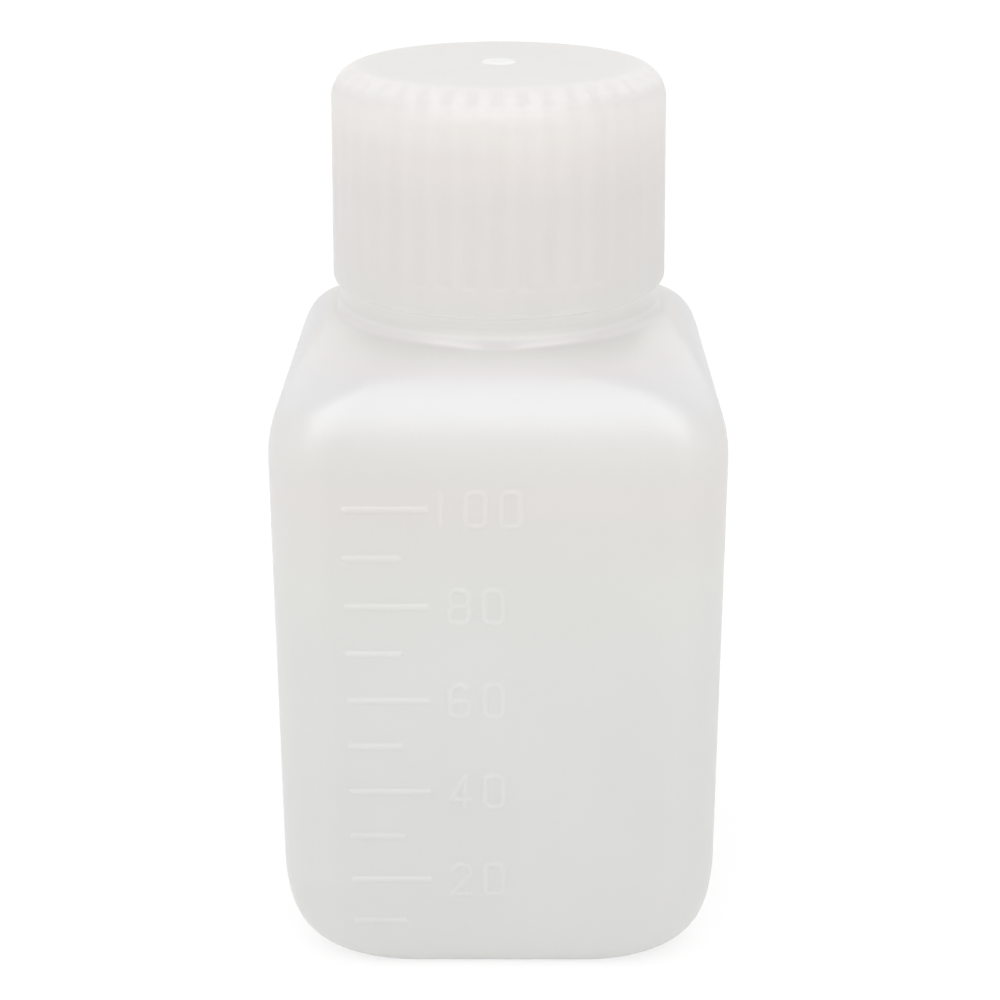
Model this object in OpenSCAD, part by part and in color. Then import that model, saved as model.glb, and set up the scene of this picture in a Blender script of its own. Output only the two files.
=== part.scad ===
// Square reagent bottle for 100 mL, with a plug seal held in its ribbed screw cap.
// Millimetres, +Z up. The origin lies on the surface the bottle stands on, under the middle of the
// neck, and the face with the graduations looks along -Y.

/* [Body] */
// Width of the square body across its flat faces
body_w = 46.5; // [46:0.5:54]
// Height at which the upright walls end and the shoulder begins
wall_h = 58; // [56:1:80]
// Radius of the upright corners
corner_r = 6; // [5:0.5:9]
// Wall thickness of the base, walls and shoulder
wall_t = 1.2; // [0.8:0.1:1.5]
// Distance that the rounded base edge runs in from the walls
base_in = 3.8; // [3:0.1:5]
// Height that the rounded base edge runs up the walls
base_up = 12.5; // [9:0.5:15]
// Growth of the corner radius for each millimetre that the base edge runs in
base_blend = 1.6; // [1:0.1:2]
// Width of the flat ring that the bottle stands on
foot_w = 2.5; // [2:0.5:4]
// Depth of the hollow under the base
base_hollow = 1; // [0.5:0.1:1.5]

/* [Shoulder and collar] */
// Radius of the bend from the walls into the shoulder
shoulder_r = 13; // [11:0.5:14]
// Slope of the top of the shoulder from the horizontal, in degrees
shoulder_slope = 34; // [32:1:45]
// Height of the collar between the shoulder and the cap
collar_h = 2.8; // [2.2:0.1:4]
// Radius of the bead around the foot of the collar
bead_r = 0.85; // [0.5:0.05:1]
// How far the bead stands out beyond the foot of the shoulder
bead_lip = 0.35; // [0.2:0.05:0.5]
// How far the collar above the bead stays inside the cap's lower edge
collar_inset = 0.5; // [0.3:0.1:0.8]

/* [Neck and thread] */
// Radius of the bore through the neck
bore_r = 12.6; // [11:0.1:13]
// Wall thickness of the neck
neck_t = 1.75; // [1.4:0.05:2]
// Height of the neck from the underside of the collar to the rim
neck_h = 22.7; // [20:0.1:28]
// Rounding of the rim's edges
rim_r = 0.4; // [0.2:0.1:0.6]
// Climb of the thread in one turn
thread_pitch = 4; // [3.5:0.1:4.5]
// Turns of thread on the neck and in the cap
thread_turns = 1.75; // [1:0.25:2]
// Height of the thread over the wall that carries it
thread_h = 1.1; // [0.8:0.1:1.3]
// Width of the thread where it leaves the wall
thread_root_w = 1.6; // [1.2:0.1:1.8]
// Width of the thread along its crest
thread_crest_w = 0.8; // [0.5:0.1:1]
// Distance from the rim down to the upper end of the neck's thread
thread_drop = 2.2; // [2.1:0.1:4]

/* [Plug seal] */
// Thickness of the plug's flange and floor
flange_t = 1; // [0.8:0.1:1.4]
// Depth that the plug reaches into the bore
plug_depth = 5; // [4:0.5:7]
// Wall thickness of the plug's skirt
plug_t = 0.9; // [0.7:0.1:1.2]
// Height of the sealing land around the skirt
land_h = 1.4; // [1:0.1:2]
// Distance from the flange down to the sealing land
land_drop = 1.6; // [1.2:0.1:1.8]
// How far the skirt stays inside the bore above and below the land
skirt_relief = 0.3; // [0.2:0.1:0.5]

/* [Screw cap] */
// Wall of the cap between its inside and the grooves, at the lower edge
cap_t = 1.6; // [1.3:0.05:2]
// Thickness of the cap's top
cap_top_t = 1.6; // [1.3:0.1:2]
// Slope of the cap's side from the vertical, in degrees
cap_draft = 0.9; // [0.4:0.1:1]
// Radius of the rounded top edge
cap_edge_r = 3.3; // [2:0.1:3.6]
// Rounding of the cap's lower edge
cap_foot_r = 0.7; // [0.4:0.1:0.9]
// Height of the smooth band under the ribs
band_h = 2.9; // [2:0.1:5]
// Number of ribs around the cap
rib_count = 40; // [24:1:44]
// Height of the ribs over the grooves between them
rib_h = 0.2; // [0.1:0.05:0.45]
// Radius of a rib's back
rib_r = 0.9; // [0.7:0.05:1]
// Radius of the low round gate mark in the middle of the cap's top
gate_r = 1.75; // [1.2:0.05:2.5]
// Height of the gate mark
gate_h = 0.25; // [0.15:0.05:0.5]
// How far the retaining bead inside the cap holds the plug's flange from below
snap_h = 0.4; // [0.3:0.05:0.6]

/* [Graduations] */
// Height of the top mark over the surface that the bottle stands on
top_mark_z = 54.25; // [50:0.25:56]
// Distance from one mark to the next
mark_pitch = 5.26; // [4.5:0.02:5.4]
// Number of marks
mark_count = 10; // [2:1:10]
// Left end of the marks, from the middle of the face
mark_x = -15.6; // [-17:0.1:-14]
// Length of the marks that carry a number
long_mark_w = 8.6; // [7:0.1:9]
// Length of the marks between them
short_mark_w = 5.8; // [4:0.1:7]
// Thickness of the marks
mark_t = 0.55; // [0.4:0.05:0.8]
// How far marks and numbers stand out from the wall
mark_relief = 0.2; // [0.1:0.05:0.3]
// Middle of the numbers, from the middle of the face
number_x = -2.2; // [-3:0.1:0]
// Height of a digit along the middle of its stroke
digit_h = 3.6; // [3:0.1:4]
// Width of a digit along the middle of its stroke
digit_w = 1.9; // [1.6:0.1:2.2]
// Distance from one digit to the next
digit_pitch = 3.5; // [3:0.1:4]
// Stroke width of the digits
stroke_w = 0.45; // [0.35:0.05:0.6]

/* [Fits] */
// Clearance between the threads of neck and cap, across the walls and along the neck
thread_gap = 0.3; // [0.2:0.05:0.4]
// Clearance between the plug's sealing land and the bore
land_gap = 0.05; // [0.02:0.01:0.1]
// Clearance of the plug's flange from the cap's wall and from the bead that retains it
flange_gap = 0.15; // [0.1:0.05:0.2]
// Gap between the collar and the cap's lower edge
cap_gap = 0.2; // [0.1:0.05:0.4]
// How far one solid reaches into the solid that carries it
embed = 0.4; // [0.3:0.05:0.6]

/* [Hidden] */

$fn = 96;
rib_fn = 32;
corner_steps = 9;
edge_steps = 9;
bend_steps = 9;
arc_steps = 8;
lip_steps = 4;
digit_steps = 6;
thread_steps = 32;
thread_fade_steps = 4;

// Volume between two marks, in millilitres
mark_volume = 10;
// Power that keeps the shoulder square until it nears the round collar
square_power = 6;
// Share of a full circle that the shoulder reaches where it runs into the collar
collar_round = 0.98;
// Share of its height that the thread has at its two ends
thread_start = 0.1;
// How far the ribs' backs are drawn beyond the cap's side, which trims them
rib_excess = 0.05;
half_w = body_w / 2;
foot_hw = half_w - base_in;
foot_corner_r = corner_r + base_blend * base_in;

// The radii build outwards from the bore, so neck, thread, cap and collar keep their fits
neck_r = bore_r + neck_t;
cap_in_r = neck_r + thread_h + thread_gap;
groove_r = cap_in_r + cap_t;
cap_r = groove_r + rib_h;
collar_r = cap_r - collar_inset;
shoulder_top_r = collar_r - bead_lip / 2;

// The shoulder is a bend of shoulder_r that ends at the slope and runs on straight to the collar
bend_end = 90 - shoulder_slope;
bend_hw = half_w - shoulder_r * (1 - cos(bend_end));
bend_z = wall_h + shoulder_r * sin(bend_end);
collar_z = bend_z + (bend_hw - shoulder_top_r) * tan(shoulder_slope);
shoulder_end = [shoulder_top_r - embed / tan(shoulder_slope), collar_z + embed];
collar_top_z = collar_z + collar_h;
rim_z = collar_z + neck_h;
cap_z = collar_top_z + cap_gap;
ceiling_z = rim_z + flange_t;
cap_top_z = ceiling_z + cap_top_t;

flange_r = cap_in_r - flange_gap;
land_r = bore_r - land_gap;
skirt_r = bore_r - skirt_relief;

rib_axis_r = cap_r + rib_excess - rib_r;
snap_z = rim_z - flange_gap - snap_h;
neck_thread_z = rim_z - thread_drop - thread_pitch * thread_turns;
cap_thread_z = neck_thread_z - (thread_root_w + thread_crest_w) / 2 - thread_gap;

// Points of an arc around c, from angle a0 to angle a1
function arc(c, r, a0, a1, steps = arc_steps) = [
    for (i = [0:steps]) let (a = a0 + (a1 - a0) * i / steps) [c[0] + r * cos(a), c[1] + r * sin(a)]
];

// Outline of a rectangle of half sizes hw and hh with corners of radius r, counter-clockwise
function rounded(hw, hh, r, steps) = [
    for (q = [0:3], p = arc([(q % 3 == 0 ? 1 : -1) * (hw - r), (q < 2 ? 1 : -1) * (hh - r)],
                            r, 90 * q, 90 * q + 90, steps)) p
];

// The same outline of a square as a ring of points at height z
function ring(hw, r, z) = [for (p = rounded(hw, hw, r, corner_steps)) [p[0], p[1], z]];

// Solid skinned over rings of points, closed by its first and its last ring
module skin(rings) {
    n = len(rings[0]);
    last = len(rings) - 1;
    sides = [for (j = [0:last - 1], i = [0:n - 1]) let (k = (i + 1) % n)
        [j * n + i, (j + 1) * n + i, (j + 1) * n + k, j * n + k]];
    ends = [[for (i = [0:n - 1]) i], [for (i = [n - 1:-1:0]) last * n + i]];
    polyhedron([for (r = rings) each r], concat(sides, ends));
}

// Profile of the body as [half width, height, angle of the outward normal, corner radius],
// from the foot up to the collar
function base_point(a) =
    let (run = base_in * (1 - sin(a)))
    [half_w - run, base_up * (1 - cos(a)), atan2(-base_in * cos(a), base_up * sin(a)),
     corner_r + base_blend * run];

function shoulder_point(hw, z, a) =
    let (rise = min(1, (z - wall_h) / (collar_z - wall_h)))
    [hw, z, a, corner_r + (collar_round * hw - corner_r) * pow(rise, square_power)];

body_profile = concat(
    [for (i = [0:edge_steps]) base_point(90 * i / edge_steps)],
    [for (i = [0:bend_steps]) let (a = bend_end * i / bend_steps)
        shoulder_point(half_w - shoulder_r * (1 - cos(a)), wall_h + shoulder_r * sin(a), a)],
    [shoulder_point(shoulder_end[0], shoulder_end[1], bend_end)]
);

// Ring of the profile point p, moved inwards by t at right angles to the surface
function profile_ring(p, t) =
    let (shift = t * cos(p[2]))
    ring(p[0] - shift, max(p[3] - shift, 1), p[1] - t * sin(p[2]));

module body_shell() {
    hollow_hw = foot_hw - foot_w - base_hollow;
    hollow_r = foot_corner_r - foot_w - base_hollow;
    last = len(body_profile) - 1;
    skin(concat(
        [ring(hollow_hw, hollow_r, base_hollow), ring(foot_hw - foot_w, foot_corner_r - foot_w, 0)],
        [for (p = body_profile) profile_ring(p, 0)],
        [for (i = [last:-1:0]) profile_ring(body_profile[i], wall_t)],
        [ring(foot_hw - foot_w, foot_corner_r - foot_w, wall_t),
         ring(hollow_hw, hollow_r, base_hollow + wall_t)]
    ));
}

// Neck tube and collar in one turned piece, with a funnel up from the shoulder to the bore
module neck() {
    bead_axis = [collar_r + bead_lip / 2 - bead_r, collar_z + bead_r];
    mid_wall = [shoulder_top_r + embed / tan(shoulder_slope) - wall_t / 2 / sin(shoulder_slope),
                collar_z - embed];
    rotate_extrude()
        polygon(concat(
            [[bore_r, collar_z + embed], mid_wall],
            arc(bead_axis, bead_r, -90, 60),
            [[shoulder_top_r, collar_z + 2 * bead_r]],
            arc([shoulder_top_r - rim_r, collar_top_z - rim_r], rim_r, 0, 90, lip_steps),
            [[neck_r, collar_top_z]],
            arc([neck_r - rim_r, rim_z - rim_r], rim_r, 0, 90, lip_steps),
            arc([bore_r + rim_r, rim_z - rim_r], rim_r, 90, 180, lip_steps)
        ));
}

// Helical ridge of thread_turns that starts at height z, rooted in the wall at root_r
module thread(root_r, crest_r, z) {
    n = ceil(thread_turns * thread_steps);
    way = sign(crest_r - root_r);
    base_r = root_r - way * embed;
    rings = [
        for (i = [0:n])
            let (
                a = 360 * thread_turns * i / n,
                h = min(1, thread_start + min(i, n - i) / thread_fade_steps),
                r = root_r + (crest_r - root_r) * h,
                c = z + thread_pitch * a / 360,
                side = way * thread_root_w / 2,
                top = way * thread_crest_w / 2
            )
            [for (p = [[base_r, side], [r, top], [r, -top], [base_r, -side]])
                [p[0] * cos(a), p[0] * sin(a), c + p[1]]]
    ];
    skin(rings);
}

// Distance of the front wall from the middle of the bottle at height z
function wall_at(z) = z >= base_up ? half_w
    : half_w - base_in * (1 - sqrt(1 - pow(1 - z / base_up, 2)));

// Moves flat shapes drawn around the origin to the front wall, embedded in it and standing out from it
module on_front(x, z) {
    translate([x, embed - wall_at(z), z])
        rotate([90, 0, 0])
            linear_extrude(embed + mark_relief)
                children();
}

// Band of stroke_w along a line of points
module stroke(points) {
    n = len(points) - 1;
    w = stroke_w / 2;
    function turned(v) = [-v[1], v[0]] / norm(v);
    normals = [for (i = [0:n]) turned(points[min(i + 1, n)] - points[max(i - 1, 0)])];
    polygon(concat(
        [for (i = [0:n]) points[i] - w * normals[i]],
        [for (i = [n:-1:0]) points[i] + w * normals[i]]
    ));
}

// Closed loop of stroke_w around a rounded rectangle, hh high from its middle
module loop(hh) {
    w = stroke_w / 2;
    r = digit_w / 3;
    difference() {
        polygon(rounded(digit_w / 2 + w, hh + w, r + w, digit_steps));
        polygon(rounded(digit_w / 2 - w, hh - w, r - w, digit_steps));
    }
}

// Digit around the origin
module digit(d) {
    hw = digit_w / 2;
    hh = digit_h / 2;
    ring_hh = digit_h / 4;
    end = stroke_w / 2;
    if (d == 0)
        loop(hh);
    if (d == 1)
        stroke([[0, -hh - end], [0, hh + end]]);
    if (d == 2)
        stroke(concat(arc([0, hh - hw], hw, 170, -30, digit_steps), [[-hw, -hh], [hw + end, -hh]]));
    if (d == 3)
        stroke(concat(arc([0, ring_hh], ring_hh, 150, -80, digit_steps),
                      arc([0, -ring_hh], ring_hh, 80, -150, digit_steps)));
    if (d == 4) {
        stroke([[hw / 2, -hh - end], [hw / 2, hh + end]]);
        stroke([[hw / 2, hh], [-hw, -hh / 2], [hw + end, -hh / 2]]);
    }
    if (d == 5)
        stroke(concat([[hw + end, hh], [-hw, hh], [-hw, 0]],
                      arc([0, hw - hh], hw, 100, -150, digit_steps)));
    if (d == 6 || d == 8)
        translate([0, -ring_hh])
            loop(ring_hh);
    if (d == 6)
        stroke(concat([[-hw, -ring_hh]], arc([0, hh - hw], hw, 180, 40, digit_steps)));
    if (d == 7)
        stroke([[-hw - end, hh], [hw, hh], [-hw / 2, -hh - end]]);
    if (d == 8 || d == 9)
        translate([0, ring_hh])
            loop(ring_hh);
    if (d == 9)
        stroke(concat([[hw, ring_hh]], arc([0, hw - hh], hw, 0, -140, digit_steps)));
}

// Digits of a whole number, first digit first
function digits(value) = value < 10 ? [value] : concat(digits(floor(value / 10)), [value % 10]);

module graduations() {
    for (i = [0:mark_count - 1]) {
        z = top_mark_z - mark_pitch * i;
        numbered = i % 2 == 0;
        w = numbered ? long_mark_w : short_mark_w;
        on_front(mark_x + w / 2, z)
            square([w, mark_t], center = true);
        if (numbered) {
            number = digits(mark_volume * (mark_count - i));
            for (j = [0:len(number) - 1])
                on_front(number_x + digit_pitch * (j - (len(number) - 1) / 2), z)
                    digit(number[j]);
        }
    }
}

module bottle() {
    color([0.86, 0.87, 0.87]) {
        body_shell();
        neck();
        thread(neck_r, neck_r + thread_h, neck_thread_z);
        graduations();
    }
}

// Plug: a flange on the rim, and a hollow skirt whose sealing land fits the bore
module sealing_plug() {
    land_top = rim_z - land_drop;
    land_foot = land_top - land_h;
    plug_foot = rim_z - plug_depth;
    inner_r = skirt_r - plug_t;
    color([0.93, 0.93, 0.92])
        rotate_extrude()
            polygon([
                [0, rim_z], [inner_r, rim_z], [inner_r, plug_foot], [skirt_r - plug_t / 2, plug_foot],
                [skirt_r, plug_foot + plug_t / 2], [skirt_r, land_foot - skirt_relief],
                [land_r, land_foot], [land_r, land_top], [skirt_r, land_top + skirt_relief],
                [skirt_r, rim_z], [flange_r, rim_z], [flange_r, ceiling_z], [0, ceiling_z]
            ]);
}

// Radius of the cap's rib backs at height z
function cap_side_r(z) = cap_r - (z - cap_z) * tan(cap_draft);

// Outline of the cap's outside from height z up over its top edge, d deep under the rib backs
function cap_outline(z, d) =
    let (
        edge_r = cap_edge_r + d,
        top_r = cap_side_r(cap_top_z - edge_r) - d
    )
    concat([[cap_side_r(z) - d, z]], arc([top_r - edge_r, cap_top_z - edge_r], edge_r, 0, 90));

module cap_shell() {
    band_z = cap_z + band_h;
    foot_axis = [cap_side_r(cap_z + cap_foot_r) - cap_foot_r, cap_z + cap_foot_r];
    rotate_extrude()
        polygon(concat(
            [[cap_in_r, cap_z]],
            arc(foot_axis, cap_foot_r, -90, 0, lip_steps),
            [[cap_side_r(band_z), band_z]],
            cap_outline(band_z, rib_h),
            [[gate_r, cap_top_z], [gate_r - gate_h, cap_top_z + gate_h], [0, cap_top_z + gate_h],
             [0, ceiling_z], [cap_in_r, ceiling_z], [cap_in_r, snap_z + snap_h],
             [cap_in_r - snap_h, snap_z], [cap_in_r, snap_z - snap_h]]
        ));
}

module ribs() {
    foot_z = cap_z + band_h - embed;
    intersection() {
        for (i = [0:rib_count - 1])
            rotate([0, 0, 360 * (i + 0.5) / rib_count])
                translate([rib_axis_r, 0, foot_z])
                    cylinder(r = rib_r, h = cap_top_z - foot_z, $fn = rib_fn);
        rotate_extrude()
            polygon(concat([[groove_r - 2 * rib_r, foot_z - embed]], cap_outline(foot_z - embed, 0),
                           [[groove_r - 2 * rib_r, cap_top_z]]));
    }
}

module screw_cap() {
    color([0.9, 0.89, 0.88]) {
        cap_shell();
        ribs();
        thread(cap_in_r, cap_in_r - thread_h, cap_thread_z);
    }
}

bottle();
sealing_plug();
screw_cap();
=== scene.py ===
import math

import bpy
import numpy as np
from mathutils import Matrix, Vector


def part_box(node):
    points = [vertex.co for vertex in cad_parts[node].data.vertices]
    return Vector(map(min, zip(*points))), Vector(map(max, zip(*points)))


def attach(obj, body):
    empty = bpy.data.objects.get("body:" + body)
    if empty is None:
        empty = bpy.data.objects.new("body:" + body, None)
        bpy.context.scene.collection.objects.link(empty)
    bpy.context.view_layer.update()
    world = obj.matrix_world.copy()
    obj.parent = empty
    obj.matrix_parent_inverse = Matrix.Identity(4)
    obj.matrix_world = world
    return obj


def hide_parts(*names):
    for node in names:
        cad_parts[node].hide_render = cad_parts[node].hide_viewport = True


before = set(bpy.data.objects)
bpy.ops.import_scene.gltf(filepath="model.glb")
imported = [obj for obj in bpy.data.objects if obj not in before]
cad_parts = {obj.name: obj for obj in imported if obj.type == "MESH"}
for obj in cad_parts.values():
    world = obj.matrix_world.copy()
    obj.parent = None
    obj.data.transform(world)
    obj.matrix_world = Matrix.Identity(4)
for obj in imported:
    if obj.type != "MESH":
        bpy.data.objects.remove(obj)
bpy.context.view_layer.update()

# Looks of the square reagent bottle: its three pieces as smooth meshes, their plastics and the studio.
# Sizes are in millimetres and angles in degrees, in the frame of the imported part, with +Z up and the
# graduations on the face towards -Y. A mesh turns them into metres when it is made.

MM = 0.001


def node_box(node):
    """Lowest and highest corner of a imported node, in millimetres."""
    return [np.array(corner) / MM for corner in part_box(node)]


# ---------------------------------------------------------------- sizes

bottle_high = node_box("bottle")[1]
cap_low, cap_high = node_box("screw_cap")
plug_low, plug_high = node_box("sealing_plug")

half_w = bottle_high[0]
rim_z = bottle_high[2]
cap_z = cap_low[2]
gate_top_z = cap_high[2]
cap_r = cap_high[0]
flange_r = plug_high[0]
ceiling_z = plug_high[2]
plug_foot_z = plug_low[2]

# Body and base. The base narrows by base_in over the height base_up, and its corners grow by base_blend
# for each millimetre of that.
wall_h = 58.0
corner_r = 6.0
wall_t = 1.2
base_in = 3.8
base_up = 12.5
base_blend = 1.6
foot_w = 2.5
base_hollow = 1.0
foot_hw = half_w - base_in
foot_corner_r = corner_r + base_blend * base_in

# Shoulder: a bend that ends at the slope and runs on straight to the collar. Its corners grow towards
# the round collar with the power square_power of the height.
shoulder_r = 13.0
shoulder_slope = 34.0
square_power = 6
collar_round = 0.98
neck_h = 22.7
collar_z = rim_z - neck_h
bend_end = 90 - shoulder_slope

# Collar. The bead around its foot lies bead_drop lower than in the solid, where the photograph shows it.
collar_h = 2.8
bead_r = 0.85
bead_lip = 0.35
bead_drop = 0.55
bead_start = -10
bead_end = 28
bead_h = 1.6
collar_flare = 0.06
flare_h = 1.0
collar_inset = 0.5
collar_top_z = collar_z + collar_h
collar_r = cap_r - collar_inset
shoulder_top_r = collar_r - bead_lip / 2

# Neck and thread
bore_r = 12.6
neck_t = 1.75
neck_r = bore_r + neck_t
thread_drop = 2.2
thread_pitch = 4.0
thread_turns = 1.75
thread_h = 1.1
thread_root_w = 1.6
thread_crest_w = 0.8
thread_gap = 0.3
neck_thread_z = rim_z - thread_drop - thread_pitch * thread_turns
cap_thread_z = neck_thread_z - (thread_root_w + thread_crest_w) / 2 - thread_gap

# Screw cap. The grooves between its ribs are rib_top_h deep on the top edge and rib_side_h on the side.
cap_in_r = neck_r + thread_h + thread_gap
cap_draft = 0.9
cap_edge_r = 3.3
cap_foot_h = 0.85
band_h = 2.9
rib_count = 40
rib_top_h = 0.21
rib_side_h = 0.065
gate_r = 1.75
gate_h = 0.25
cap_top_z = gate_top_z - gate_h
snap_h = 0.4
flange_gap = 0.15
snap_z = rim_z - flange_gap - snap_h

# Seam between collar and cap: its width, how soft its edges are, and how far around it that holds
seam_gap = 0.005
seam_soft = 0.05
seam_reach = 0.35

# Plug seal
plug_wall = 0.9
skirt_relief = 0.3
land_gap = 0.05
land_drop = 1.6
land_h = 1.4
land_flank_h = 0.3
skirt_r = bore_r - skirt_relief
land_r = bore_r - land_gap
land_z = rim_z - land_drop - land_h / 2

# Graduations. A stroke's flank is 2 * relief_edge wide.
top_mark_z = 54.25
mark_pitch = 5.26
mark_count = 10
mark_x = -15.6
long_mark_w = 8.6
short_mark_w = 5.8
mark_t = 0.55
mark_relief = 0.105
mark_volume = 10
number_x = -2.2
digit_h = 3.6
digit_w = 1.9
digit_pitch = 3.5
stroke_w = 0.45
digit_relief = 0.08
relief_edge = 0.13


# ---------------------------------------------------------------- paths

PATH_STEP = 0.05
CALM = 0.05  # Bends below this angle count as straight


def smooth_step(share):
    """0 to 1 as the share goes from 0 to 1, level at both ends."""
    share = np.clip(share, 0, 1)
    return share * share * (3 - 2 * share)


def arc(centre, radius, start, end, step=2.0):
    """Points of an arc in a plane, from the angle start to the angle end."""
    count = max(2, math.ceil(abs(end - start) / step))
    turn = np.radians(np.linspace(start, end, count + 1))
    return np.column_stack([centre[0] + radius * np.cos(turn), centre[1] + radius * np.sin(turn)])


def softened(path, spread):
    """The path at even steps, with each sharp corner rounded over about spread to either side."""
    run = np.concatenate([[0], np.cumsum(np.linalg.norm(np.diff(path, axis=0), axis=1))])
    steps = np.linspace(0, run[-1], round(run[-1] / PATH_STEP) + 1)
    even = np.column_stack([np.interp(steps, run, column) for column in path.T])
    reach = math.ceil(3 * spread / PATH_STEP)
    weight = np.exp(-0.5 * (np.arange(-reach, reach + 1) * PATH_STEP / spread) ** 2)
    weight /= weight.sum()
    before = 2 * even[0] - even[reach:0:-1]
    after = 2 * even[-1] - even[-2:-reach - 2:-1]
    padded = np.concatenate([before, even, after])
    return np.column_stack([np.convolve(column, weight, "valid") for column in padded.T])


def thinned(path, turn, longest, wanted=()):
    """The points of an evenly stepped path that its shape needs, and those numbered in wanted. No bend
    between two of them is over turn degrees, and no step is over longest."""
    step = np.diff(path, axis=0)
    length = np.linalg.norm(step, axis=1)
    heading = step / length[:, None]
    bent = np.degrees(np.arccos(np.clip((heading[1:] * heading[:-1]).sum(1), -1, 1)))
    changes = np.flatnonzero(np.diff((bent > CALM).astype(int))) + 1
    wanted = set(wanted) | set(changes.tolist())
    kept = [0]
    turned = run = 0.0
    for i in range(1, len(path) - 1):
        turned += bent[i - 1]
        run += length[i - 1]
        if turned >= turn or run >= longest or i in wanted:
            kept.append(i)
            turned = run = 0.0
    return path[kept + [len(path) - 1]]


# ---------------------------------------------------------------- meshes

def square_reach(turn, half, corner):
    """Distance from the axis to the outline of a rounded square, at turn radians from a side's middle."""
    turn = np.abs((turn + math.pi / 4) % (math.pi / 2) - math.pi / 4)
    axis = half - corner
    across = axis * math.sqrt(2) * np.sin(turn - math.pi / 4)
    along = axis * math.sqrt(2) * np.cos(turn - math.pi / 4)
    on_corner = along + np.sqrt(np.maximum(corner ** 2 - across ** 2, 0))
    return np.where(half * np.tan(turn) <= axis, half / np.cos(turn), on_corner)


def around(turns, reach, height):
    """Points at a distance from the axis and a height, for directions that start at -Y."""
    height = np.broadcast_to(height, reach.shape)
    return np.stack([reach * np.sin(turns), -reach * np.cos(turns), height], axis=-1)


def loft(rings, low_z, high_z):
    """Vertices and faces of a skin over rings of points, closed at both ends to a point on the axis."""
    rows, columns = rings.shape[:2]
    points = np.concatenate([rings.reshape(-1, 3), [[0, 0, low_z], [0, 0, high_z]]])
    low, high = len(points) - 2, len(points) - 1
    i = np.arange(columns)
    after = (i + 1) % columns
    faces = []
    for row in range(rows - 1):
        a, b = row * columns, (row + 1) * columns
        faces += np.column_stack([a + i, a + after, b + after, b + i]).tolist()
    top = (rows - 1) * columns
    faces += np.column_stack([np.full(columns, low), after, i]).tolist()
    faces += np.column_stack([np.full(columns, high), top + i, top + after]).tolist()
    return points, faces


def ridge(root_r, crest_r, start_z):
    """Vertices and faces of a thread's helical ridge, rooted in a wall, into which both ends run out."""
    steps_per_turn = 72
    sunk, end_dip, end_width, end_turns = 0.35, 0.3, 0.35, 1 / 8
    soft_share, soft_out, soft_in = 0.85, 0.06, 0.12
    count = round(thread_turns * steps_per_turn)
    way = math.copysign(1, crest_r - root_r)
    turn = np.radians(360 * thread_turns * np.arange(count + 1) / count)
    from_end = np.minimum(np.arange(count + 1), np.arange(count, -1, -1))
    begun = np.clip(from_end / (steps_per_turn * end_turns), 0, 1)
    height = np.sin(np.pi / 2 * begun) * abs(crest_r - root_r)
    dip = end_dip * (1 - begun) ** 3
    width = end_width + (1 - end_width) * np.sqrt(begun)
    root, crest = thread_root_w / 2, thread_crest_w / 2
    # The section: shares of the ridge's height, or None inside the wall, and distances along the axis
    flank = [(None, root), (0.0, root), (soft_share, crest + soft_out), (1.0, crest - soft_in)]
    section = flank + [(share, -along) for share, along in reversed(flank)]
    rings = []
    for share, along in section:
        out = np.full(count + 1, -sunk) if share is None else share * height - dip
        reach = root_r + way * out
        z = start_z + thread_pitch * turn / (2 * math.pi) + way * along * width
        rings.append(np.stack([reach * np.cos(turn), reach * np.sin(turn), z], axis=-1))
    rings = np.stack(rings, axis=1)
    sides = rings.shape[1]
    faces = []
    for row in range(count):
        for i in range(sides):
            k = (i + 1) % sides
            faces.append([row * sides + i, (row + 1) * sides + i, (row + 1) * sides + k, row * sides + k])
    faces.append(list(range(sides)))
    faces.append([count * sides + i for i in reversed(range(sides))])
    return rings.reshape(-1, 3), faces


def mesh_piece(name, parts, material, body):
    """One smooth mesh of several closed skins, which rides on a body and stands for the node of its name."""
    points, faces = [], []
    for part_points, part_faces in parts:
        first = sum(len(p) for p in points)
        points.append(part_points)
        faces += [[first + i for i in face] for face in part_faces]
    mesh = bpy.data.meshes.new(name + "_skin")
    mesh.from_pydata((np.concatenate(points) * MM).tolist(), [], faces)
    mesh.materials.append(material)
    mesh.shade_smooth()
    piece = bpy.data.objects.new(name + "_skin", mesh)
    bpy.context.scene.collection.objects.link(piece)
    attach(piece, body)
    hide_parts(name)


# ---------------------------------------------------------------- graduations

DIGIT_STEP = 15  # Angle between the points of a digit's round strokes


def loop(centre_z, half_h):
    """Closed line around a rounded rectangle as wide as a digit."""
    r = digit_w / 3
    x, z = digit_w / 2 - r, half_h - r
    places = [(x, z), (-x, z), (-x, -z), (x, -z)]
    corners = [arc((side, centre_z + up), r, 90 * i, 90 * i + 90, DIGIT_STEP)
               for i, (side, up) in enumerate(places)]
    return np.concatenate(corners + [corners[0][:1]])


def digit_lines(digit):
    """Lines along the middle of a digit's strokes, around its centre."""
    w, h = digit_w / 2, digit_h / 2
    if digit == 0:
        return [loop(0, h)]
    if digit == 1:
        return [np.array([[0, -h], [0, h]])]
    if digit == 2:
        return [np.concatenate([arc((0, h - w), w, 170, -30, DIGIT_STEP), [[-w, -h], [w, -h]]])]
    if digit == 4:
        return [np.array([[w / 2, -h], [w / 2, h], [-w, -h / 2], [w, -h / 2]])]
    if digit == 6:
        hook = np.concatenate([[[-w, -h / 2]], arc((0, h - w), w, 180, 40, DIGIT_STEP)])
        return [loop(-h / 2, h / 2), hook]
    # What is left is 8
    return [loop(-h / 2, h / 2), loop(h / 2, h / 2)]


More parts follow.
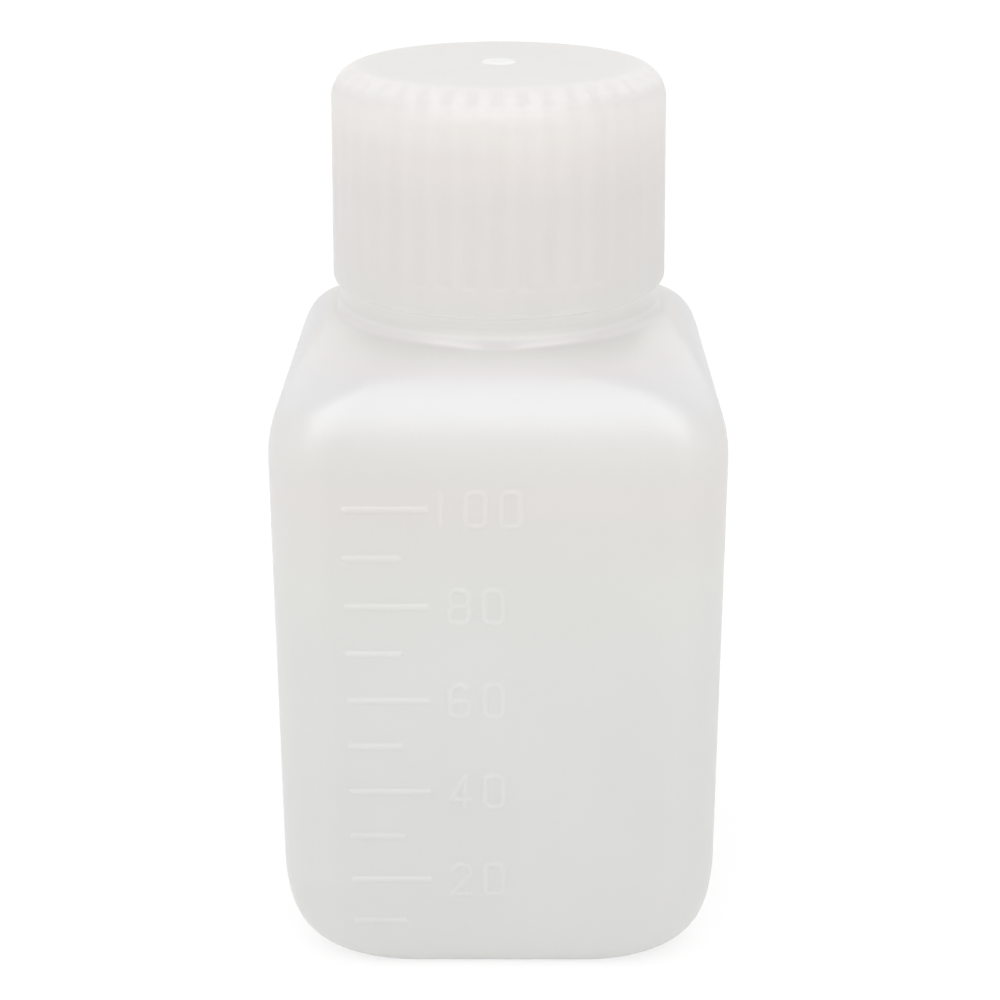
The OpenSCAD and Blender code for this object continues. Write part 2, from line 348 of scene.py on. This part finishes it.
def graduation_lines():
    """Every stroke on the front wall: its middle line, width and height."""
    strokes = []
    for i in range(mark_count):
        z = top_mark_z - mark_pitch * i
        width = short_mark_w if i % 2 else long_mark_w
        ends = np.array([[mark_x + mark_t / 2, z], [mark_x + width - mark_t / 2, z]])
        strokes.append((ends, mark_t, mark_relief))
        if i % 2 == 0:
            number = str(mark_volume * (mark_count - i))
            for j, digit in enumerate(number):
                x = number_x + digit_pitch * (j - (len(number) - 1) / 2)
                strokes += [(line + [x, z], stroke_w, digit_relief) for line in digit_lines(int(digit))]
    return strokes


def relief(x, z):
    """How far marks and numbers stand out of the front wall at the points x, z."""
    height = np.zeros(x.shape)
    for line, width, top in graduation_lines():
        nearest = np.full(x.shape, np.inf)
        for (ax, az), (bx, bz) in zip(line[:-1], line[1:]):
            dx, dz = bx - ax, bz - az
            share = np.clip(((x - ax) * dx + (z - az) * dz) / (dx * dx + dz * dz), 0, 1)
            nearest = np.minimum(nearest, np.hypot(x - ax - share * dx, z - az - share * dz))
        inside = (width / 2 + relief_edge - nearest) / (2 * relief_edge)
        height = np.maximum(height, top * smooth_step(inside))
    return height


# ---------------------------------------------------------------- bottle

FINE = 0.12  # Step of the points across marks and numbers
CLEAR = relief_edge + 3 * FINE  # How far the fine steps go on beyond them


def shoulder_corner(half, z):
    """Corner radius at a height, which stays that of the body until the shoulder nears the collar."""
    rise = np.clip((z - wall_h) / (collar_z - wall_h), 0, 1)
    return corner_r + (collar_round * half - corner_r) * rise ** square_power


def body_profile():
    """Outside of the body from the foot to the collar, as half width, height, corner radius and the
    angle of the surface's outward normal."""
    base_count, slope_count = 46, 24
    a = np.radians(np.linspace(0, 90, base_count))
    run = base_in * (1 - np.sin(a))
    tilt = np.degrees(np.arctan2(-base_in * np.cos(a), base_up * np.sin(a)))
    base = np.column_stack([half_w - run, base_up * (1 - np.cos(a)), corner_r + base_blend * run, tilt])
    bend = arc((half_w - shoulder_r, wall_h), shoulder_r, 0, bend_end, step=1.0)
    slope_end = np.array([shoulder_top_r, collar_z])
    slope = np.linspace(bend[-1], slope_end, slope_count)[1:]
    upper = np.concatenate([bend, slope])
    corner = shoulder_corner(upper[:, 0], upper[:, 1])
    normal = np.concatenate([np.linspace(0, bend_end, len(bend)), np.full(len(slope), bend_end)])
    return np.concatenate([base, np.column_stack([upper, corner, normal])])


def turned(points):
    """Path points of round rings, whose corner radius is their whole half width."""
    points = np.asarray(points, float)
    return np.column_stack([points, points[:, 0]])


def bottle_path():
    """Half width, height and corner radius along the bottle's skin, from the middle of its underside over
    the rim to the middle of the floor inside."""
    least_corner = 1.0
    outside = body_profile()
    normal = np.radians(outside[:, 3])
    inset = wall_t * np.cos(normal)
    inside = np.column_stack([outside[:, 0] - inset, outside[:, 1] - wall_t * np.sin(normal),
                              np.maximum(outside[:, 2] - inset, least_corner)])[::-1]
    ring_in = foot_hw - foot_w
    ring_corner = foot_corner_r - foot_w
    hollow = [[0, base_hollow, 0], [ring_in - base_hollow, base_hollow, ring_corner - base_hollow],
              [ring_in, 0, ring_corner]]
    bead_axis = (collar_r + bead_lip / 2 - bead_r, collar_z + bead_r - bead_drop)
    bead = arc(bead_axis, bead_r, bead_start, bead_end, step=4)
    above_bead = [[shoulder_top_r, collar_z + bead_h], [shoulder_top_r, collar_top_z - flare_h],
                  [shoulder_top_r + collar_flare, collar_top_z], [neck_r, collar_top_z],
                  [neck_r, rim_z], [bore_r, rim_z], [bore_r, collar_z + wall_t / 3]]
    collar = turned(np.concatenate([bead, above_bead]))
    floor = [[ring_in, wall_t, ring_corner],
             [ring_in - base_hollow, base_hollow + wall_t, ring_corner - base_hollow],
             [0, base_hollow + wall_t, 0]]
    below_bead = outside[:, 0] > bead[0, 0]
    return np.concatenate([hollow, outside[below_bead, :3], collar, inside, floor])


def bottle_columns():
    """Directions of the columns of points around the bottle, close together where the front has relief."""
    flat_count, corner_count, margin = 21, 15, 0.4
    flat = half_w - corner_r
    coarse = np.linspace(-flat, flat, flat_count)
    mark_ends = [mark_x, mark_x + short_mark_w, mark_x + long_mark_w]
    fine = [end + np.arange(-CLEAR, CLEAR + FINE, FINE) for end in mark_ends]
    number_reach = digit_pitch + (digit_w + stroke_w) / 2 + CLEAR
    fine[-1] = np.arange(fine[-1][0], number_x + number_reach, FINE)
    taken = [(xs.min() - margin, xs.max() + margin) for xs in fine]
    clear = [x for x in coarse if not any(low < x < high for low, high in taken)]
    front = np.sort(np.concatenate([clear] + fine))
    corner_start = math.atan2(flat, half_w)
    corner = np.linspace(corner_start, math.pi / 2 - corner_start, corner_count)[1:-1]
    turns = []
    for side in range(4):
        across = front if side == 0 else coarse
        turns += [side * math.pi / 2 + np.arctan2(across, half_w), side * math.pi / 2 + corner]
    return np.concatenate(turns)


def relief_rows(path):
    """Numbers of the path's points on the outside wall that lie across a mark or a number."""
    rows = []
    outside = np.argmax(path[:, 1] > wall_h)
    for i in range(mark_count):
        z = top_mark_z - mark_pitch * i
        reach = (mark_t if i % 2 else digit_h + stroke_w) / 2 + CLEAR
        heights = np.arange(z - reach, z + reach + FINE, FINE)
        rows += np.searchsorted(path[:outside, 1], heights).tolist()
    return rows


def near(path, z, reach):
    """How near each point of a path is to a height, from 0 to 1, as a column."""
    return np.exp(-((path[:, 1, None] - z) / reach) ** 2)


def bottle_skin():
    edge_soft, bead_soft, bead_reach = 0.16, 0.8, 0.95
    corners = bottle_path()
    path = softened(corners, edge_soft)
    # The crease under the bead is filled more softly than the other edges, but not inside the neck
    near_bead = near(path, collar_z, bead_reach)
    near_bead[np.argmax(path[:, 1]):] = 0
    path += near_bead * (softened(corners, bead_soft) - path)
    path += near(path, collar_top_z, seam_reach) * (softened(corners, seam_soft) - path)
    path = thinned(path, turn=6, longest=3.5, wanted=relief_rows(path))
    turns = bottle_columns()
    half, z, corner = (path[1:-1, i, None] for i in range(3))
    rings = around(turns, square_reach(turns[None], half, np.minimum(corner, half)), z)
    rim_row = np.argmax(path[:, 1])
    front = np.abs(rings[:, :, 0]) < half_w - corner_r
    front &= rings[:, :, 1] < -foot_hw
    front[rim_row:] = False
    rings[front, 1] -= relief(rings[front, 0], rings[front, 2])
    return loft(rings, path[0, 1], path[-1, 1])


# ---------------------------------------------------------------- screw cap

def cap_side_r(z):
    return cap_r - (z - cap_z) * math.tan(math.radians(cap_draft))


def cap_outline(band_z):
    """Outside of the cap from the middle of its top edge down to band_z: radius and height on the rib
    backs, and the same in the grooves, which run out on the rounding of the top edge."""
    # Angles on the rounding at which the grooves end, are full, begin to get shallower and are shallow
    groove_ends, groove_full, groove_eases, groove_eased = 76, 60, 52, 24
    tilt_step, side_count = 2.0, 24
    side_r = cap_side_r(cap_top_z - cap_edge_r)
    tilt = np.arange(90, -1, -tilt_step)
    out, up = np.cos(np.radians(tilt)), np.sin(np.radians(tilt))
    edge = np.column_stack([side_r + cap_edge_r * (out - 1), cap_top_z + cap_edge_r * (up - 1)])
    begun = smooth_step((groove_ends - tilt) / (groove_ends - groove_full))
    deep = smooth_step((tilt - groove_eased) / (groove_eases - groove_eased))
    depth = begun * (rib_side_h + (rib_top_h - rib_side_h) * deep)
    edge_groove = edge - depth[:, None] * np.column_stack([out, up])
    side = np.linspace(edge[-1], [cap_side_r(band_z), band_z], side_count)[1:]
    side_groove = side.copy()
    side_groove[:, 0] -= rib_side_h
    return np.column_stack([np.concatenate([edge, side]), np.concatenate([edge_groove, side_groove])])


def cap_path():
    """Radius and height on the rib backs, and the same in the grooves, along the cap's skin."""
    band_z = cap_z + band_h
    gate = [[0, gate_top_z], [gate_r - gate_h, gate_top_z], [gate_r, cap_top_z]]
    # The foot narrows to the collar's radius and nearly meets the collar, as no dark line shows there
    foot_z = collar_top_z + seam_gap
    foot_top_z = foot_z + cap_foot_h
    side_r = cap_side_r(foot_top_z)
    turn = 2 * math.atan2(side_r - collar_r, cap_foot_h)
    foot_r = cap_foot_h / math.sin(turn)
    foot = arc((side_r - foot_r, foot_top_z), foot_r, 0, -math.degrees(turn), step=5)
    inner = [[cap_in_r, foot_z], [cap_in_r, snap_z - snap_h], [cap_in_r - snap_h, snap_z],
             [cap_in_r, snap_z + snap_h], [cap_in_r, ceiling_z], [0, ceiling_z]]
    rest = np.concatenate([[[cap_side_r(band_z), band_z]], foot, inner])
    return np.concatenate([np.hstack([gate, gate]), cap_outline(band_z), np.hstack([rest, rest])])


def cap_skin():
    edge_soft, columns_per_rib = 0.14, 16
    corners = cap_path()
    path = softened(corners, edge_soft)
    path += near(path, collar_top_z, seam_reach) * (softened(corners, seam_soft) - path)
    path = thinned(path, turn=8, longest=3.0)
    columns = rib_count * columns_per_rib
    turns = 2 * math.pi * np.arange(columns) / columns
    rib_pitch = 2 * math.pi / rib_count
    # A groove lies at -Y, where the directions start, so the ribs lie half a pitch on
    from_rib = np.abs(turns % rib_pitch - rib_pitch / 2) * cap_r
    back_hw, flank_end = 0.2, 1.15
    groove = smooth_step((from_rib - back_hw) / (flank_end - back_hw))
    inner = path[1:-1]
    reach = inner[:, 0, None] + groove[None] * (inner[:, 2] - inner[:, 0])[:, None]
    z = inner[:, 1, None] + groove[None] * (inner[:, 3] - inner[:, 1])[:, None]
    rings = around(turns, reach, z)
    # The path runs from the top outwards and down, so the rings are taken in reverse
    return loft(rings[::-1], path[-1, 1], path[0, 1])


# ---------------------------------------------------------------- plug seal

def plug_skin():
    edge_soft, columns = 0.1, 144
    inner_r = skirt_r - plug_wall
    path = np.array([
        [0, rim_z], [inner_r, rim_z], [inner_r, plug_foot_z], [skirt_r - plug_wall / 2, plug_foot_z],
        [skirt_r, plug_foot_z + plug_wall / 2], [skirt_r, land_z - land_h / 2 - land_flank_h],
        [land_r, land_z - land_h / 2], [land_r, land_z + land_h / 2],
        [skirt_r, land_z + land_h / 2 + land_flank_h], [skirt_r, rim_z], [flange_r, rim_z],
        [flange_r, ceiling_z], [0, ceiling_z]])
    path = thinned(softened(path, edge_soft), turn=8, longest=4.0)
    turns = 2 * math.pi * np.arange(columns) / columns
    rings = around(turns, np.repeat(path[1:-1, :1], columns, axis=1), path[1:-1, 1:])
    return loft(rings, path[0, 1], path[-1, 1])


# ---------------------------------------------------------------- plastics

def add(tree, kind, inputs=(), **settings):
    """A new node with its settings, and its inputs either linked or set."""
    node = tree.nodes.new("ShaderNode" + kind)
    for name, value in settings.items():
        setattr(node, name, value)
    for name, value in dict(inputs).items():
        if isinstance(value, bpy.types.NodeSocket):
            tree.links.new(value, node.inputs[name])
        else:
            node.inputs[name].default_value = value
    return node


def stretched(tree, place, scale):
    """The place in space with each axis scaled, in repeats per metre."""
    return add(tree, "Mapping", {"Vector": place, "Scale": scale}).outputs[0]


def noise(tree, place, scale, detail=2.0, roughness=0.5):
    """Smooth noise with scale repeats per metre."""
    inputs = {"Vector": place, "Scale": scale, "Detail": detail, "Roughness": roughness}
    return add(tree, "TexNoise", inputs).outputs["Fac"]


def remap(tree, value, low, high, source=(0.3, 0.7)):
    """The value with its source range spread over low to high."""
    inputs = {"Value": value, "From Min": source[0], "From Max": source[1], "To Min": low, "To Max": high}
    return add(tree, "MapRange", inputs).outputs[0]


def math_node(tree, operation, *values):
    return add(tree, "Math", dict(enumerate(values)), operation=operation).outputs[0]


def plastic(name, tones_and_painted_light, radius, roughness, grain, mottle, streaks=0.0, painted_highlight=None):
    """Milky moulded plastic. Its colour runs through the tones given at heights, in which painted light and
    shade are mixed, with cloudy patches, upright streaks where the wall is thicker, and a painted highlight
    where the highlight function given paints one. Its surface has a fine mould grain and shallow waves, and
    light spreads in it by about radius."""
    # Scales are repeats per metre
    patch_scale, streak_scale, shine_scale = 55, (420, 420, 45), 300
    grain_scale, grain_h, wave_scale, wave_h, wave_strength = 2600, 0.04 * MM, 110, 0.1 * MM, 0.5
    shine_range = 0.03
    material = bpy.data.materials.new(name)
    material.use_nodes = True
    tree = material.node_tree
    shader = tree.nodes["Principled BSDF"]
    place = add(tree, "TexCoord").outputs["Object"]

    low, high = tones_and_painted_light[0][0] * MM, tones_and_painted_light[-1][0] * MM
    height = add(tree, "SeparateXYZ", {"Vector": place}).outputs["Z"]
    # Base tone by height, with painted light and shade mixed in where the table of heights holds them
    tone_and_painted_light_node = add(tree, "ValToRGB", {"Fac": remap(tree, height, 0, 1, source=(low, high))})
    tone_and_painted_light_ramp = tone_and_painted_light_node.color_ramp
    for z, *colour in tones_and_painted_light[1:-1]:
        tone_and_painted_light_ramp.elements.new((z * MM - low) / (high - low)).color = (*colour, 1)
    tone_and_painted_light_ramp.elements[0].color = (*tones_and_painted_light[0][1:], 1)
    tone_and_painted_light_ramp.elements[-1].color = (*tones_and_painted_light[-1][1:], 1)

    mottle_and_highlight = remap(tree, noise(tree, place, patch_scale, detail=3.0), 1 - mottle, 1 + mottle)
    if streaks:
        upright = stretched(tree, place, streak_scale)
        streak = remap(tree, noise(tree, upright, 1.0, detail=3.0), 1 - streaks, 1 + streaks)
        mottle_and_highlight = math_node(tree, "MULTIPLY", mottle_and_highlight, streak)
    # Painted highlight, for the plastics given one
    if painted_highlight:
        mottle_and_highlight = math_node(tree, "MULTIPLY", mottle_and_highlight, painted_highlight(tree, place))
    tinted = add(tree, "VectorMath", {0: tone_and_painted_light_node.outputs["Color"], "Scale": mottle_and_highlight}, operation="SCALE")
    tree.links.new(tinted.outputs[0], shader.inputs["Base Color"])

    shine = remap(tree, noise(tree, place, shine_scale, detail=4.0),
                  roughness - shine_range, roughness + shine_range)
    tree.links.new(shine, shader.inputs["Roughness"])

    fine = noise(tree, place, grain_scale, detail=2.0)
    wave = noise(tree, place, wave_scale, detail=1.0)
    bump = add(tree, "Bump", {"Height": fine, "Strength": grain, "Distance": grain_h})
    broad = add(tree, "Bump", {"Height": wave, "Strength": wave_strength, "Distance": wave_h,
                               "Normal": bump.outputs[0]})
    tree.links.new(broad.outputs[0], shader.inputs["Normal"])

    shader.subsurface_method = "RANDOM_WALK"
    shader.inputs["Subsurface Weight"].default_value = 1.0
    shader.inputs["Subsurface Radius"].default_value = (radius, radius, radius)
    # Light spreads less far near the seam between collar and cap, as its hidden faces would dim the edges
    least_share, seam_edge, seam_end = 0.12, 0.1, 0.9
    from_seam = math_node(tree, "ABSOLUTE", math_node(tree, "SUBTRACT", height, collar_top_z * MM))
    spread = remap(tree, from_seam, least_share * MM, MM, source=(seam_edge * MM, seam_end * MM))
    tree.links.new(spread, shader.inputs["Subsurface Scale"])
    shader.inputs["IOR"].default_value = 1.5
    return material


def cap_painted_highlight(tree, place):
    """Painted highlight on the cap: 1, and 1 plus the gate's gain on the gate mark in the middle of its top,
    which is painted paler to stand in for the glints on it.
    """
    gate_highlight_gain, edge_w, top_begins, top_full = 0.19, 0.1, 1.0, 0.8
    xyz = add(tree, "SeparateXYZ", {"Vector": place}).outputs
    radius = math_node(tree, "SQRT", math_node(tree, "ADD", math_node(tree, "POWER", xyz["X"], 2.0),
                                               math_node(tree, "POWER", xyz["Y"], 2.0)))
    # Painted highlight on the gate mark, fading out at its edge
    gate = remap(tree, radius, gate_highlight_gain, 0, source=((gate_r - edge_w) * MM, (gate_r + edge_w) * MM))
    top = ((cap_top_z - top_begins) * MM, (cap_top_z - top_full) * MM)
    on_top = remap(tree, xyz["Z"], 0, 1, source=top)
    return math_node(tree, "ADD", math_node(tree, "MULTIPLY", gate, on_top), 1.0)


# Heights and the tones there. They were tuned against the photograph at these heights. Partly they stand in
# for
# light that passes through the real plastic and its empty inside, and partly they are painted light and
# shade:
# painted shade towards the foot and on the shoulder under the collar, painted light in the crease under the
# bead and in the shaded seam under the cap, and painted shade over the highlight on the bead.
body_plastic = plastic(
    "bottle_plastic",
    tones_and_painted_light=((0, 0.78, 0.78, 0.76), (10, 0.773, 0.77, 0.758), (20, 0.782, 0.78, 0.767),
             (30, 0.797, 0.797, 0.781), (43, 0.807, 0.812, 0.783), (55, 0.833, 0.809, 0.785),
             (60, 0.822, 0.812, 0.788), (65.5, 0.772, 0.767, 0.777), (67.5, 0.765, 0.745, 0.738),
             (68.6, 0.738, 0.735, 0.71), (68.9, 0.67, 0.67, 0.645), (69.15, 0.80, 0.77, 0.765),
             (69.5, 0.78, 0.765, 0.755), (69.8, 0.795, 0.78, 0.77), (70.0, 0.83, 0.82, 0.80),
             (70.25, 0.765, 0.765, 0.745), (70.7, 0.778, 0.770, 0.750), (70.95, 0.832, 0.823, 0.80),
             (71.4, 0.835, 0.822, 0.80), (71.6, 0.835, 0.82, 0.79), (71.8, 0.86, 0.845, 0.815),
             (72.05, 0.90, 0.885, 0.86), (72.3, 0.84, 0.84, 0.83), (92, 0.84, 0.84, 0.83)),
    radius=1.3, roughness=0.36, grain=0.25, mottle=0.012)
# The cap's tones carry painted light on its foot by the seam and towards the top of its side, and painted
# shade over part of the highlight on its rounded top edge.
cap_plastic = plastic(
    "cap_plastic",
    tones_and_painted_light=((72, 0.93, 0.915, 0.89), (72.25, 0.89, 0.875, 0.855), (72.45, 0.83, 0.815, 0.795),
             (72.7, 0.80, 0.785, 0.765), (74.5, 0.80, 0.782, 0.76), (77.5, 0.808, 0.783, 0.762),
             (83, 0.815, 0.785, 0.768), (88, 0.872, 0.825, 0.80), (90, 0.90, 0.865, 0.835),
             (91.3, 0.898, 0.865, 0.837), (92, 0.868, 0.84, 0.815), (92.6, 0.83, 0.802, 0.785),
             (93, 0.843, 0.815, 0.80), (93.5, 0.882, 0.852, 0.837), (93.9, 0.865, 0.835, 0.82),
             (94.45, 0.832, 0.817, 0.795)),
    radius=1.4, roughness=0.53, grain=0.4, mottle=0.01, streaks=0.006, painted_highlight=cap_painted_highlight)
plug_plastic = plastic(
    "plug_plastic", tones_and_painted_light=((86, 0.83, 0.83, 0.82), (93, 0.85, 0.85, 0.84)),
    radius=1.5, roughness=0.5, grain=0.3, mottle=0.01)

neck_thread = ridge(neck_r, neck_r + thread_h, neck_thread_z)
cap_thread = ridge(cap_in_r, cap_in_r - thread_h, cap_thread_z)
mesh_piece("bottle", [bottle_skin(), neck_thread], body_plastic, "bottle")
mesh_piece("sealing_plug", [plug_skin()], plug_plastic, "plug")
mesh_piece("screw_cap", [cap_skin(), cap_thread], cap_plastic, "cap")


# ---------------------------------------------------------------- studio

def seen_directly(tree):
    """1 for rays from the camera, in reflections and through clear matter, and 0 for those that light."""
    path = add(tree, "LightPath").outputs
    seen = math_node(tree, "MAXIMUM", path["Is Camera Ray"], path["Is Glossy Ray"])
    return math_node(tree, "MAXIMUM", seen, path["Is Transmission Ray"])


def floor_material():
    """White floor. Where it is seen directly it is lifted to white, with the object's shadow kept."""
    lighting, seen, glow_strength = 0.88, 0.35, 0.72
    material = bpy.data.materials.new("studio_floor")
    material.use_nodes = True
    tree = material.node_tree
    tree.nodes.clear()
    plain = add(tree, "BsdfDiffuse", {"Color": (lighting, lighting, lighting, 1)})
    pale = add(tree, "BsdfDiffuse", {"Color": (seen, seen, seen, 1)})
    glow = add(tree, "Emission", {"Color": (1, 1, 1, 1), "Strength": glow_strength})
    lifted = add(tree, "AddShader", {0: pale.outputs[0], 1: glow.outputs[0]})
    mixed = add(tree, "MixShader", {"Fac": seen_directly(tree), 1: plain.outputs[0], 2: lifted.outputs[0]})
    add(tree, "OutputMaterial", {"Surface": mixed.outputs[0]})
    return material


def make_floor():
    radius, sides = 4.0, 96
    turn = 2 * math.pi * np.arange(sides) / sides
    rim = np.column_stack([radius * np.cos(turn), radius * np.sin(turn), np.zeros(sides)])
    mesh = bpy.data.meshes.new("studio_floor")
    mesh.from_pydata(rim.tolist(), [], [list(range(sides))])
    mesh.materials.append(floor_material())
    floor = bpy.data.objects.new("studio_floor", mesh)
    bpy.context.scene.collection.objects.link(floor)


def make_world():
    """White room, seen as white, that lights the object less from behind and a little less from the right.
    Its level eases from front to back as a direction turns towards dimmer_side."""
    front, back, dimmer_side, eases_from, eases_to = 1.045, 0.62, (0.17, 0.985, 0.0), -0.5, 0.8
    world = bpy.data.worlds.new("studio")
    world.use_nodes = True
    tree = world.node_tree
    tree.nodes.clear()
    direction = add(tree, "TexCoord").outputs["Generated"]
    behind = add(tree, "VectorMath", {0: direction, 1: dimmer_side}, operation="DOT_PRODUCT")
    level = add(tree, "MapRange", {"Value": behind.outputs["Value"], "From Min": eases_from,
                                   "From Max": eases_to, "To Min": front, "To Max": back},
                interpolation_type="SMOOTHSTEP")
    strength = add(tree, "Mix", {"Factor": seen_directly(tree), "A": level.outputs[0], "B": 1.0})
    background = add(tree, "Background", {"Color": (1, 1, 1, 1), "Strength": strength.outputs[0]})
    add(tree, "OutputWorld", {"Surface": background.outputs[0]})
    bpy.context.scene.world = world


def direction_to(azimuth, elevation):
    """Direction from the object, with azimuth 0 at -Y and 90 at +X."""
    a, e = math.radians(azimuth), math.radians(elevation)
    return Vector((math.sin(a) * math.cos(e), -math.cos(a) * math.cos(e), math.sin(e)))


def soft_box(name, azimuth, elevation, radiance, width=0.9, height=0.9, shine_only=False):
    """Area light in metres that faces the object, with radiance as its brightness where 1 is white."""
    distance = 0.9
    aim = Vector((0, 0, 0.05))
    out = direction_to(azimuth, elevation)
    data = bpy.data.lights.new(name, "AREA")
    data.shape = "RECTANGLE"
    data.size, data.size_y = width, height
    data.energy = radiance * math.pi * width * height
    lamp = bpy.data.objects.new(name, data)
    lamp.visible_diffuse = lamp.visible_transmission = not shine_only
    lamp.location = aim + out * distance
    lamp.rotation_mode = "QUATERNION"
    lamp.rotation_quaternion = (-out).to_track_quat("-Z", "Y")
    bpy.context.scene.collection.objects.link(lamp)


def make_camera():
    """Camera at the photograph's place, aimed a little to the side of the axis."""
    lens = 75.49
    distance, azimuth, elevation, roll = 232.35, 0.377, 20.895, -0.108
    aim = Vector((0.06, 0, 46.44)) * MM
    out = direction_to(azimuth, elevation)
    data = bpy.data.cameras.new("photo_camera")
    data.sensor_width = 36
    data.lens = lens
    data.clip_start = 0.01
    data.clip_end = 20
    camera = bpy.data.objects.new("photo_camera", data)
    facing = (-out).to_track_quat("-Z", "Y").to_matrix() @ Matrix.Rotation(math.radians(roll), 3, "Z")
    camera.matrix_world = Matrix.Translation(aim + out * distance * MM) @ facing.to_4x4()
    bpy.context.scene.collection.objects.link(camera)
    bpy.context.scene.camera = camera


make_floor()
make_world()
soft_box("front_box", azimuth=0, elevation=43, radiance=3.7, width=1.6, height=0.8, shine_only=True)
soft_box("left_box", azimuth=-138, elevation=38, radiance=0.6, shine_only=True)
soft_box("right_box", azimuth=138, elevation=38, radiance=0.9, shine_only=True)
soft_box("top_box", azimuth=0, elevation=80, radiance=0.2)
make_camera()
bpy.context.scene.view_settings.view_transform = "Standard"
